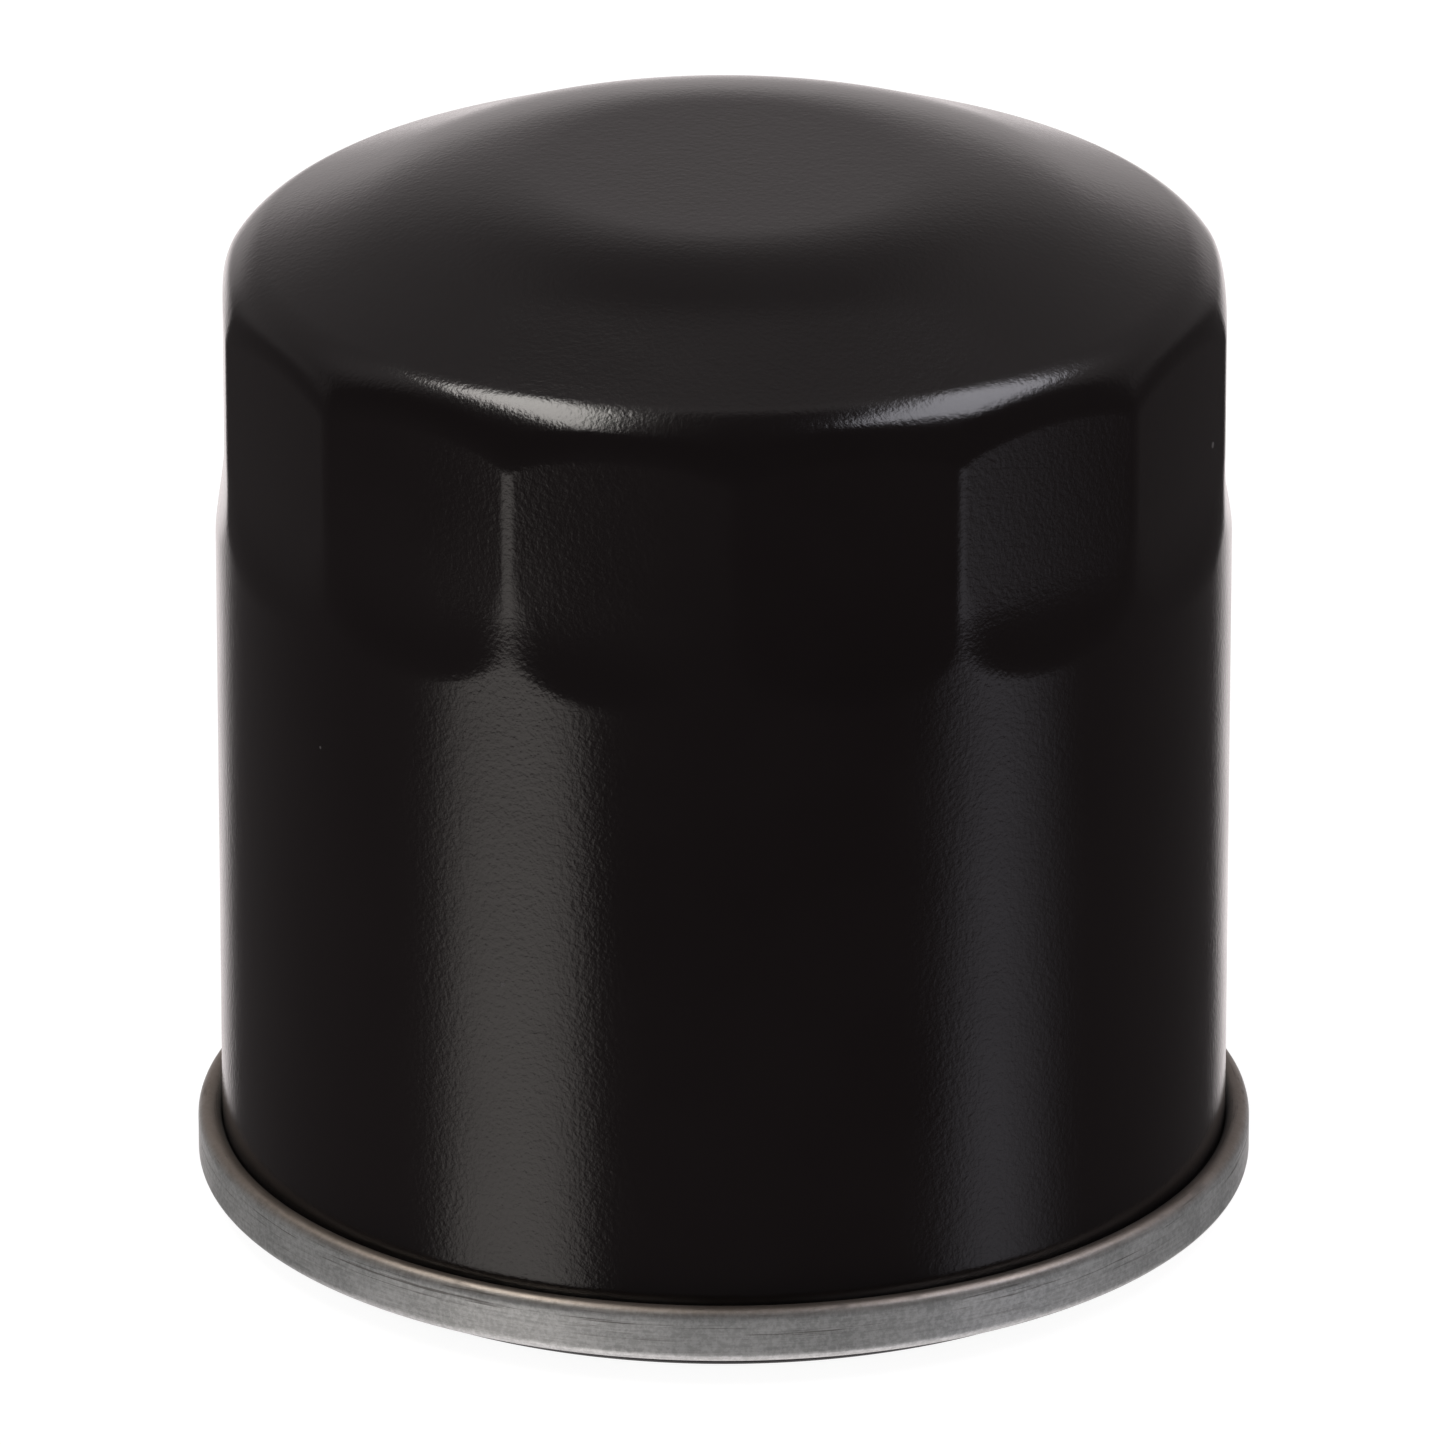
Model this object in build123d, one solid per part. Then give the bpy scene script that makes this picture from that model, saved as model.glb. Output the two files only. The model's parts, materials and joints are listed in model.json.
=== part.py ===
from build123d import *
import math
import os

# Spin-on oil filter, standing on its gasket. Millimetres, +Z up.
# Origin: centre of the gasket's sealing face. Radii are called *_r, heights above the origin *_z.

# Can: deep-drawn sheet with a flat disc, a shallow cone and a round shoulder at the closed end
can_r = 33.0
can_wall = 0.5
dome_top_z = 70.5
disc_r = 17.7
cone_slope = 22.3
disc_blend = 30.0
shoulder_blend = 5.0

# Wrench flats drawn into the can's closed end
flat_count = 14
flat_apothem = 32.24
flat_turn = 1.2
flat_start_z = 52.1
flat_runout = 20.0
flat_runout_turn = 25

# Double seam between the can and the lid
sheet = 0.5
seam_r = 34.58
seam_bottom_z = 1.5
seam_top_z = 5.2
seam_gap = 0.03
fold_r = 0.5

# Lid's gasket groove and the gasket
groove_floor_z = 5.7
groove_inner_r = 27.25
lid_ring_z = 2.75
lid_mouth_r = 21.7
gasket_r = 31.4
gasket_hole_r = 27.9
gasket_edge = 0.5

# Base plate, dished so that its rim clears the groove. The thread is 3/4-16 UNF, at its minor diameter.
plate_r = 31.6
plate_thickness = 3.0
plate_step_r = 26.9
thread_minor_r = 8.8
collar_r = 10.9
collar_top_z = 12.6
inlet_count = 8
inlet_r = 2.75
inlet_circle_r = 17.5

# Anti-drain valve
valve_top_z = 13.0
valve_neck_z = 9.2
valve_flange_r = 15.0
valve_lip_r = 23.4

# Filter element
cap_sheet = 0.4
cap_r = 28.3
cap_rim = 3.3
lower_cap_z = 13.0
upper_cap_z = 57.0
potting = 1.2
potting_gap = 0.02
tube_r = 12.1
tube_wall = 0.5
tube_hole_r = 1.5
tube_hole_rows = 9
tube_holes_in_row = 8
pleat_count = 44
pleat_root_r = 12.6
pleat_tip_r = 27.2
pleat_half_width = 0.75
paper = 0.5
clip_sheet = 0.3
clip_inner_r = 23.0

# Bypass valve in the upper cap
bypass_hole_r = 6.5
cage_r = 9.1
cage_floor_z = 43.0
cage_flange_r = 11.3
cage_windows = 4
window_width = 6.0
poppet_r = 7.9
poppet_thickness = 0.8
seal_thickness = 1.0
stem_r = 1.5
stem_running_gap = 0.05
stem_head_r = 3.2
stem_bottom_z = 40.0
bypass_wire_r = 0.45
bypass_coil_r = 5.6
bypass_turns = 6

# Element spring and its seat
spring_seat_r = 14.6
spring_seat_hole_r = 9.6
spring_wire_r = 0.8
spring_coil_r = 11.6
spring_turns = 4

plate_inner_z = lid_ring_z + sheet
plate_rim_z = groove_floor_z + sheet
lower_cap_top_z = lower_cap_z + cap_sheet
seal_top_z = upper_cap_z - 0.02


def turned(profile):
    """A solid of revolution about Z, from a face drawn with radius along X and height along Y."""
    return Rotation(90, 0, 0) * revolve(profile, Axis.Y, 360)


def ring(inner_r, outer_r, low_z, high_z, edge=0):
    """A ring of rectangular section, with its long edges rounded where edge isn't 0."""
    corners = [(inner_r, low_z), (outer_r, low_z), (outer_r, high_z), (inner_r, high_z)]
    outline = FilletPolyline(*corners, radius=edge, close=True) if edge else Polyline(*corners, close=True)
    return turned(make_face(outline))


def shifted(points, distance):
    """The corners of a polyline moved sideways by a distance, to the left of its direction."""
    normals = []
    for (x0, y0), (x1, y1) in zip(points, points[1:]):
        length = math.hypot(x1 - x0, y1 - y0)
        normals.append(((y0 - y1) / length, (x1 - x0) / length))
    normals = [normals[0], *normals, normals[-1]]
    moved = []
    for (x, y), (ax, ay), (bx, by) in zip(points, normals, normals[1:]):
        scale = distance / (1 + ax * bx + ay * by)
        moved.append((x + scale * (ax + bx), y + scale * (ay + by)))
    return moved


def towards(start, end, distance):
    """The point at a distance from the start, on the way to the end."""
    length = math.dist(start, end)
    return tuple(a + (b - a) * distance / length for a, b in zip(start, end))


def rounded_line(corners, radii):
    """Edges of a polyline whose inner corners are rounded to the given radii."""
    edges = []
    last = corners[0]
    for before, corner, after, radius in zip(corners, corners[1:], corners[2:], radii):
        incoming = math.atan2(corner[1] - before[1], corner[0] - before[0])
        outgoing = math.atan2(after[1] - corner[1], after[0] - corner[0])
        turn = math.remainder(outgoing - incoming, 2 * math.pi)
        reach = radius * math.tan(abs(turn) / 2)
        start = towards(corner, before, reach)
        end = towards(corner, after, reach)
        edges.append(Line(last, start))
        edges.append(TangentArc(start, end, tangent=(math.cos(incoming), math.sin(incoming))))
        last = end
    edges.append(Line(last, corners[-1]))
    return edges


def pressed_ring(points, thickness, bend):
    """Sheet metal revolved about Z. The points are the (radius, height) corners of its middle line."""
    sides = []
    for distance in (thickness / 2, -thickness / 2):
        radii = []
        for (ax, ay), (bx, by), (cx, cy) in zip(points, points[1:], points[2:]):
            turns_left = (bx - ax) * (cy - by) - (by - ay) * (cx - bx)
            radii.append(bend - distance if turns_left > 0 else bend + distance)
        sides.append(rounded_line(shifted(points, distance), radii))
    left, right = sides
    ends = [Line(left[0] @ 0, right[0] @ 0), Line(left[-1] @ 1, right[-1] @ 1)]
    return turned(make_face([edge for line in [*left, *right, *ends] for edge in line.edges()]))


def coil(wire_r, coil_r, turns, low_z, high_z):
    """A coil spring between two heights."""
    rise = high_z - low_z - 2 * wire_r
    path = Pos(0, 0, low_z + wire_r) * Helix(pitch=rise / turns, height=rise, radius=coil_r)
    section = Plane(origin=path @ 0, z_dir=path % 0) * Circle(wire_r)
    return sweep(section, path=path, is_frenet=True)


def can_envelope(inset):
    """The can's outer form, or its inner form when it is inset by the wall, open at the bottom."""
    slope = math.radians(cone_slope)
    wall_r = can_r - inset
    top_z = dome_top_z - inset
    disc_corner_r = disc_r - inset * math.tan(slope / 2)
    shoulder_centre_r = can_r - shoulder_blend
    shoulder_centre_z = dome_top_z - (shoulder_centre_r - disc_r) * math.tan(slope)
    shoulder_centre_z -= shoulder_blend / math.cos(slope)
    shoulder_r = shoulder_blend - inset
    cone_end = (
        shoulder_centre_r + shoulder_r * math.sin(slope),
        shoulder_centre_z + shoulder_r * math.cos(slope),
    )
    blend_r = disc_blend - inset
    blend_reach = blend_r * math.tan(slope / 2)
    blend_start = (disc_corner_r - blend_reach, top_z)
    blend_end = (
        disc_corner_r + blend_reach * math.cos(slope),
        top_z - blend_reach * math.sin(slope),
    )
    disc = Line((0, top_z), blend_start)
    blend = TangentArc(blend_start, blend_end, tangent=(1, 0))
    cone = Line(blend_end, cone_end)
    shoulder = TangentArc(cone_end, (wall_r, shoulder_centre_z), tangent=(math.cos(slope), -math.sin(slope)))
    wall = Polyline((wall_r, shoulder_centre_z), (wall_r, 0), (0, 0), (0, top_z))
    form = turned(make_face([*disc.edges(), *blend.edges(), *cone.edges(), *shoulder.edges(), *wall.edges()]))
    return form - flat_cutters(inset)


def flat_cutters(inset):
    """What the wrench flats take away: upright faces that run out downwards in an arc."""
    face_r = flat_apothem - inset
    radius = flat_runout + inset
    outside_r = can_r + 4
    turn = math.radians(flat_runout_turn)
    runout_r = face_r + radius * (1 - math.cos(turn))
    runout_z = flat_start_z - radius * math.sin(turn)
    upright = Line((face_r, dome_top_z + 1), (face_r, flat_start_z))
    runout = TangentArc((face_r, flat_start_z), (runout_r, runout_z), tangent=(0, -1))
    back = Polyline((runout_r, runout_z), (outside_r, runout_z), (outside_r, dome_top_z + 1), (face_r, dome_top_z + 1))
    side = make_face([*upright.edges(), *runout.edges(), *back.edges()])
    half_width = can_r * math.tan(math.pi / flat_count) + 1
    cutter = extrude(Rotation(90, 0, 0) * side, half_width, both=True)
    pitch = 360 / flat_count
    first = flat_turn - 90 + pitch / 2
    return [Rotation(0, 0, first + pitch * number) * cutter for number in range(flat_count)]


def can_shell():
    """Can with its lower edge hooked outwards into the seam."""
    wall = can_envelope(0) - can_envelope(can_wall)
    join_z = seam_top_z + 3
    wall &= Pos(0, 0, join_z) * Cylinder(
        can_r + 5, dome_top_z, align=(Align.CENTER, Align.CENTER, Align.MIN)
    )
    middle_r = can_r - can_wall / 2
    hook_r = seam_r - 1.5 * sheet - seam_gap
    fold_z = seam_bottom_z + 1.5 * sheet + seam_gap
    tip_z = seam_top_z - 1.5 * sheet
    hook = pressed_ring(
        [(middle_r, join_z), (middle_r, fold_z), (hook_r, fold_z), (hook_r, tip_z)], can_wall, fold_r
    )
    return wall + hook


def seaming_lid():
    """Lid: cover hook, seam wall, gasket groove and the flat ring that is welded to the base plate."""
    seam_middle_r = seam_r - sheet / 2
    cover_hook_r = can_r + seam_gap + sheet / 2
    chuck_r = can_r - can_wall - seam_gap - sheet / 2
    low_z = seam_bottom_z + sheet / 2
    middle_line = [
        (cover_hook_r, low_z + 2 * sheet),
        (cover_hook_r, seam_top_z - sheet / 2),
        (seam_middle_r, seam_top_z - sheet / 2),
        (seam_middle_r, low_z),
        (chuck_r, low_z),
        (chuck_r, groove_floor_z + sheet / 2),
        (groove_inner_r + sheet / 2, groove_floor_z + sheet / 2),
        (groove_inner_r + sheet / 2, lid_ring_z + sheet / 2),
        (lid_mouth_r, lid_ring_z + sheet / 2),
    ]
    return pressed_ring(middle_line, sheet, fold_r)


def seam_compound():
    """Bead of sealing compound between the tip of the can's hook and the lid's fold."""
    hook_tip_z = seam_top_z - 1.5 * sheet
    middle_r = seam_r - 1.5 * sheet - seam_gap
    return ring(middle_r - 0.15, middle_r + 0.15, hook_tip_z + 0.02, hook_tip_z + 0.18)


def sealing_gasket():
    return ring(gasket_hole_r, gasket_r, 0, groove_floor_z, gasket_edge)


def base_plate():
    """Dished plate with the threaded collar and the oil inlets."""
    inner_top_z = plate_inner_z + plate_thickness
    rim_top_z = plate_rim_z + plate_thickness
    outline = FilletPolyline(
        (thread_minor_r, plate_inner_z),
        (plate_step_r, plate_inner_z),
        (plate_step_r, plate_rim_z),
        (plate_r, plate_rim_z),
        (plate_r, rim_top_z),
        (plate_step_r - 2, rim_top_z),
        (plate_step_r - 2, inner_top_z),
        (collar_r, inner_top_z),
        (collar_r, collar_top_z),
        (thread_minor_r, collar_top_z),
        radius=0.4,
        close=True,
    )
    inlet = Pos(inlet_circle_r, 0, plate_inner_z) * Cylinder(inlet_r, 3 * plate_thickness)
    pitch = 360 / inlet_count
    return turned(make_face(outline)) - [Rotation(0, 0, pitch * number) * inlet for number in range(inlet_count)]


def anti_drain_valve():
    """Rubber neck round the collar, a flange under the element and a cone that rests on the plate."""
    plate_top_z = plate_inner_z + plate_thickness
    outline = Polyline(
        (collar_r, valve_neck_z),
        (collar_r, valve_top_z),
        (valve_flange_r, valve_top_z),
        (valve_flange_r, valve_top_z - 1),
        (collar_r + 1.7, valve_top_z - 1.4),
        (collar_r + 1.7, valve_top_z - 2.4),
        (valve_lip_r - 0.4, plate_top_z + 1.1),
        (valve_lip_r, plate_top_z + 0.5),
        (valve_lip_r - 0.6, plate_top_z + 0.02),
        (collar_r + 1.4, valve_neck_z),
        close=True,
    )
    return turned(make_face(outline))


def lower_end_cap():
    """Cap with an outer rim and a short inner spigot inside the centre tube."""
    middle_z = lower_cap_z + cap_sheet / 2
    rim_r = cap_r - cap_sheet / 2
    spigot_r = tube_r - tube_wall - 0.05 - cap_sheet / 2
    middle_line = [(spigot_r, lower_cap_z + 2.4), (spigot_r, middle_z), (rim_r, middle_z), (rim_r, lower_cap_z + cap_rim)]
    return pressed_ring(middle_line, cap_sheet, 0.4)


def upper_end_cap():
    """Cap with an outer rim and the bypass valve's seat in the middle."""
    middle_z = upper_cap_z + cap_sheet / 2
    rim_r = cap_r - cap_sheet / 2
    middle_line = [(bypass_hole_r, middle_z), (rim_r, middle_z), (rim_r, upper_cap_z + cap_sheet - cap_rim)]
    return pressed_ring(middle_line, cap_sheet, 0.4)


def potting_ring(low_z):
    """Plastisol in a cap, round the centre tube, clear of the bend at the cap's rim."""
    return ring(tube_r, cap_r - cap_sheet - potting_gap, low_z + potting_gap, low_z + potting - potting_gap, 0.3)


def lower_potting():
    return potting_ring(lower_cap_top_z)


def upper_potting():
    return potting_ring(upper_cap_z - potting)


def center_tube():
    """Perforated tube, with every other row of holes turned by half a pitch."""
    tube = ring(tube_r - tube_wall, tube_r, lower_cap_top_z + 0.2, upper_cap_z)
    hole = Rotation(0, 90, 0) * Cylinder(tube_hole_r, 4 * tube_wall)
    pitch = 360 / tube_holes_in_row
    row_rise = (upper_cap_z - lower_cap_top_z) / (tube_hole_rows + 1)
    holes = []
    for row in range(tube_hole_rows):
        for place in range(tube_holes_in_row):
            turn = pitch * (place + row % 2 / 2)
            z = lower_cap_top_z + row_rise * (row + 1)
            holes.append(Rotation(0, 0, turn) * Pos(tube_r - tube_wall / 2, 0, z) * hole)
    return tube - holes


def pleat_outline(root_r, tip_r, half_width):
    """Star outline: each pleat is a straight radial finger."""
    corners = []
    for pleat in range(pleat_count):
        turn = 2 * math.pi * pleat / pleat_count
        for radius, side in ((root_r, -1), (tip_r, -1), (tip_r, 1), (root_r, 1)):
            y = side * half_width
            x = math.sqrt(radius**2 - y**2)
            corners.append((x * math.cos(turn) - y * math.sin(turn), x * math.sin(turn) + y * math.cos(turn)))
    return make_face(Polyline(*corners, close=True))


def pleated_media():
    section = pleat_outline(pleat_root_r + paper, pleat_tip_r, pleat_half_width)
    section -= pleat_outline(pleat_root_r, pleat_tip_r - paper, pleat_half_width - paper)
    low_z = lower_cap_top_z + potting
    return Pos(0, 0, low_z) * extrude(section, upper_cap_z - potting - low_z)


def media_seam_clip():
    """Folded strip over the tip of the pleat where the two ends of the paper meet."""
    gap = 0.03
    inner_half = pleat_half_width + gap
    outer_half = inner_half + clip_sheet
    tip = pleat_tip_r + gap
    section = Polyline(
        (clip_inner_r, inner_half),
        (tip, inner_half),
        (tip, -inner_half),
        (clip_inner_r, -inner_half),
        (clip_inner_r, -outer_half),
        (tip + clip_sheet, -outer_half),
        (tip + clip_sheet, outer_half),
        (clip_inner_r, outer_half),
        close=True,
    )
    low_z = lower_cap_top_z + potting
    return Pos(0, 0, low_z) * extrude(make_face(section), upper_cap_z - potting - low_z)


def bypass_cage():
    """Pressed cup under the upper cap, with windows in its wall and a guide hole in its floor."""
    wall_r = cage_r - sheet / 2
    middle_line = [
        (cage_flange_r, upper_cap_z - sheet / 2),
        (wall_r, upper_cap_z - sheet / 2),
        (wall_r, cage_floor_z - sheet / 2),
        (stem_r + stem_running_gap, cage_floor_z - sheet / 2),
    ]
    cup = pressed_ring(middle_line, sheet, fold_r)
    low_z = cage_floor_z + 1.5
    height = upper_cap_z - 2.5 - low_z
    window = Pos(cage_r, 0, low_z + height / 2) * Box(4, window_width, height)
    pitch = 360 / cage_windows
    return cup - [Rotation(0, 0, pitch * number) * window for number in range(cage_windows)]


def bypass_seal():
    return ring(stem_r, poppet_r - 0.3, seal_top_z - seal_thickness, seal_top_z)


def bypass_poppet():
    """Pressed disc with a turned-down rim that centres the spring."""
    top_z = seal_top_z - seal_thickness
    middle_z = top_z - poppet_thickness / 2
    rim_r = poppet_r - poppet_thickness / 2
    middle_line = [(stem_r, middle_z), (rim_r, middle_z), (rim_r, top_z - 2)]
    return pressed_ring(middle_line, poppet_thickness, 0.5)


def bypass_stem():
    """Rivet through the washer and the disc, with its head on top."""
    shank = Pos(0, 0, stem_bottom_z) * Cylinder(
        stem_r, seal_top_z - stem_bottom_z, align=(Align.CENTER, Align.CENTER, Align.MIN)
    )
    head = ring(0, stem_head_r, seal_top_z, seal_top_z + 0.9)
    head = fillet(head.edges().group_by(Axis.Z)[-1], 0.6)
    tip = chamfer(shank.edges().group_by(Axis.Z)[0], 0.4)
    return tip + head


def bypass_spring():
    disc_bottom_z = seal_top_z - seal_thickness - poppet_thickness
    return coil(bypass_wire_r, bypass_coil_r, bypass_turns, cage_floor_z, disc_bottom_z)


def spring_seat():
    """Pressed ring on the upper cap, with an inner lip that centres the element spring."""
    floor_z = upper_cap_z + cap_sheet + sheet / 2
    lip_r = spring_seat_hole_r + sheet / 2
    return pressed_ring([(lip_r, floor_z + 2.2), (lip_r, floor_z), (spring_seat_r, floor_z)], sheet, fold_r)


def element_spring():
    low_z = upper_cap_z + cap_sheet + sheet
    return coil(spring_wire_r, spring_coil_r, spring_turns, low_z, dome_top_z - can_wall)


subparts = [
    can_shell,
    seaming_lid,
    seam_compound,
    sealing_gasket,
    base_plate,
    anti_drain_valve,
    lower_end_cap,
    upper_end_cap,
    lower_potting,
    upper_potting,
    center_tube,
    pleated_media,
    media_seam_clip,
    bypass_cage,
    bypass_poppet,
    bypass_seal,
    bypass_stem,
    bypass_spring,
    spring_seat,
    element_spring,
]

os.makedirs("parts", exist_ok=True)
for subpart in subparts:
    export_step(subpart(), f"parts/{subpart.__name__}.step")
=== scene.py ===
import bpy
import json
import math
import random
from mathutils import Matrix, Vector


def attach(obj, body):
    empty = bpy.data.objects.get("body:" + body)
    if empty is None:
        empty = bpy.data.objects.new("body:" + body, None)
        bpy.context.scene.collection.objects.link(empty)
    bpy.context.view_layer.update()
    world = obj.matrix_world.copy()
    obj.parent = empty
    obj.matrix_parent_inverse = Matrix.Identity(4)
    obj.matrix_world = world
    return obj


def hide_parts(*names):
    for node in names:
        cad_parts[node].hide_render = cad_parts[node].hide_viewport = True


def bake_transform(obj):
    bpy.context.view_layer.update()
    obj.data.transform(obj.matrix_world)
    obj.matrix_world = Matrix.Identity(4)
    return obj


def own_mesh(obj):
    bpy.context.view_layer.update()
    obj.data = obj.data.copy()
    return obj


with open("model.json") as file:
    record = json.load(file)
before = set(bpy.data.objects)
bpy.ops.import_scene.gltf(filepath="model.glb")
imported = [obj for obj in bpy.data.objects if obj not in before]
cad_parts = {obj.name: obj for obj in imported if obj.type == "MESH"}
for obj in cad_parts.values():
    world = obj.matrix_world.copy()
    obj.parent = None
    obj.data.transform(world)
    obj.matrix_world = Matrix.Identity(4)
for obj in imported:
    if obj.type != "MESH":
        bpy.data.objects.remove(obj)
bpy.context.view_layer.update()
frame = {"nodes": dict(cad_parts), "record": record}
MM = 0.001
TAU = 2 * math.pi

# Sizes in millimetres. Most repeat the CAD's driving dimensions. Those of the crown, the softness and the
# blend of the disc belong to the looks only: they round what the press leaves round.
CAN_R = 33.0
CAN_WALL = 0.5
DOME_TOP_Z = 70.5
DISC_R = 17.7
CONE_SLOPE = math.radians(22.3)
DISC_BLEND = 30.0
SHOULDER_BLEND = 5.0
FLAT_COUNT = 14
FLAT_APOTHEM = 32.24
FLAT_TURN = math.radians(1.2)
FLAT_START_Z = 53.2
FLAT_RUNOUT = 7.2
FLAT_CROWN = 0.13
FLAT_CROWN_R = 140.0
RIDGE_SOFTNESS = 0.15
RUNOUT_SOFTNESS = 0.28
MIDDLE_SOFTNESS = 0.10
SHOULDER_SOFTNESS = 0.75
SHARPENING_LOW_Z = 50.5
SHARPENING_TOP_Z = 54.0
SOFTENING_LOW_Z = 60.9
SOFTENING_TOP_Z = 63.4
FLAT_FOOT = 2.5
FLAT_ROWS = 56
SEGMENTS_PER_FLAT = 44
RIDGE_CROWDING = 0.65
WALL_LOW_Z = 8.0
HOOK_START_Z = 6.0
SHEET = 0.5
SEAM_R = 34.58
SEAM_BOTTOM_Z = 1.5
SEAM_TOP_Z = 5.2
SEAM_GAP = 0.03
FOLD_R = 0.5
GROOVE_FLOOR_Z = 5.7
GROOVE_INNER_R = 27.25
LID_RING_Z = 2.75
LID_MOUTH_R = 21.7
WELD_COUNT = 8
WELD_CIRCLE_R = 24.3
WELD_R = 1.9
WELD_DEPTH = 0.22
SEAM_WAVE = 0.015
GASKET_R = 31.4
GASKET_HOLE_R = 27.9
GASKET_ROUNDING = 0.3
MOULD_LINE = 0.06
PLATE_R = 31.6
PLATE_THICKNESS = 3.0
PLATE_STEP_R = 26.9
PLATE_LOW_Z = LID_RING_Z + SHEET
PLATE_TOP_Z = PLATE_LOW_Z + PLATE_THICKNESS
PLATE_RIM_Z = GROOVE_FLOOR_Z + SHEET
THREAD_MINOR_R = 8.8
THREAD_DEPTH = 0.72
THREAD_PITCH = 25.4 / 16
THREAD_FADE = 0.9
THREAD_ROWS = 96
COLLAR_R = 10.9
COLLAR_TOP_Z = 12.6
INLET_COUNT = 8
INLET_R = 2.75
INLET_CIRCLE_R = 17.5
INLET_FLARE = 0.35
VALVE_TOP_Z = 13.0
VALVE_NECK_Z = 9.2
VALVE_FLANGE_R = 15.0
VALVE_LIP_R = 23.4
CAP_SHEET = 0.4
CAP_R = 28.3
CAP_RIM = 3.3
LOWER_CAP_Z = 13.0
UPPER_CAP_Z = 57.0
POTTING = 1.2
TUBE_R = 12.1
TUBE_WALL = 0.5
TUBE_HOLE_R = 1.5
TUBE_HOLE_ROWS = 9
TUBE_HOLES_IN_ROW = 8
PLEAT_COUNT = 44
PLEAT_ROOT_R = 12.6
PLEAT_TIP_R = 27.2
PLEAT_HALF_WIDTH = 0.75
PAPER = 0.5
PLEAT_ROWS = 10
PLEAT_LEAN = 0.035
BYPASS_HOLE_R = 6.5
CAGE_R = 9.1
CAGE_FLOOR_Z = 43.0
CAGE_FLANGE_R = 11.3
CAGE_WINDOWS = 4
WINDOW_WIDTH = 6.0
POPPET_R = 7.9
POPPET_THICKNESS = 0.8
SEAL_TOP_Z = UPPER_CAP_Z - 0.02
SEAL_THICKNESS = 1.0
STEM_R = 1.5
STEM_HEAD_R = 3.2
STEM_BOTTOM_Z = 40.0
BYPASS_WIRE_R = 0.45
BYPASS_COIL_R = 5.6
SPRING_SEAT_R = 14.6
SPRING_SEAT_HOLE_R = 9.6
SPRING_WIRE_R = 0.8
SPRING_COIL_R = 11.6
CLOSED_TURNS = 0.9
CLOSED_PITCH = 1.9
GROUND_SHARE = 0.55

LOWER_CAP_TOP_Z = LOWER_CAP_Z + CAP_SHEET
MEDIA_LOW_Z = LOWER_CAP_TOP_Z + POTTING
MEDIA_TOP_Z = UPPER_CAP_Z - POTTING


# ---------- Outlines ----------

def arc(centre, radius, start, end, step=math.radians(9)):
    """Points on an arc, from one angle to another, both included."""
    count = max(2, math.ceil(abs(end - start) / step) + 1)
    angles = [start + (end - start) * number / (count - 1) for number in range(count)]
    return [(centre[0] + radius * math.cos(a), centre[1] + radius * math.sin(a)) for a in angles]


def rounded(corners, radii, closed=False):
    """A polyline's points, with its corners rounded to the given radii."""
    count = len(corners)
    if not isinstance(radii, (list, tuple)):
        radii = [radii] * count
    points = []
    for number, (corner, radius) in enumerate(zip(corners, radii)):
        if not closed and number in (0, count - 1) or radius <= 0:
            points.append(corner)
            continue
        before = Vector(corners[number - 1])
        after = Vector(corners[(number + 1) % count])
        corner = Vector(corner)
        back = (before - corner).normalized()
        ahead = (after - corner).normalized()
        half = back.angle(ahead) / 2
        centre = corner + (back + ahead).normalized() * radius / math.sin(half)
        start = corner + back * radius / math.tan(half) - centre
        turn = math.pi - 2 * half
        if back.x * ahead.y - back.y * ahead.x > 0:
            turn = -turn
        first = math.atan2(start.y, start.x)
        points += arc(centre, radius, first, first + turn)
    return points


def shifted(points, distance):
    """The corners of a polyline moved sideways by a distance, to the left of its direction."""
    normals = []
    for start, end in zip(points, points[1:]):
        along = (Vector(end) - Vector(start)).normalized()
        normals.append(Vector((-along.y, along.x)))
    normals = [normals[0], *normals, normals[-1]]
    moved = []
    for point, left, right in zip(points, normals, normals[1:]):
        moved.append(tuple(Vector(point) + distance * (left + right) / (1 + left.dot(right))))
    return moved


def sheet_outline(points, thickness, bend, lip=0.12):
    """Closed outline of bent sheet metal round its middle line, with slightly rounded cut edges."""
    sides = []
    for distance in (thickness / 2, -thickness / 2):
        radii = [lip]
        for (ax, ay), (bx, by), (cx, cy) in zip(points, points[1:], points[2:]):
            turns_left = (bx - ax) * (cy - by) - (by - ay) * (cx - bx)
            radii.append(bend - distance if turns_left > 0 else bend + distance)
        sides.append((shifted(points, distance), [*radii, lip]))
    (left, left_radii), (right, right_radii) = sides
    return rounded([*left, *reversed(right)], [*left_radii, *reversed(right_radii)], closed=True)


def divided(points, longest, closed=True):
    """The same outline with no side longer than a limit."""
    ends = [*points[1:], points[0]] if closed else points[1:]
    result = []
    for start, end in zip(points, ends):
        count = max(1, math.ceil(math.dist(start, end) / longest))
        for number in range(count):
            share = number / count
            result.append(tuple(a + (b - a) * share for a, b in zip(start, end)))
    return result if closed else [*result, points[-1]]


# ---------- Meshes ----------

def mesh_object(name, points, faces, sharp=32):
    """An object from points in millimetres, shaded smooth except at edges sharper than an angle."""
    mesh = bpy.data.meshes.new(name)
    mesh.from_pydata([(x * MM, y * MM, z * MM) for x, y, z in points], [], faces)
    mesh.validate()
    mesh.shade_smooth()
    mesh.set_sharp_from_angle(angle=math.radians(sharp))
    piece = bpy.data.objects.new(name, mesh)
    bpy.context.scene.collection.objects.link(piece)
    return piece


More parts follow.
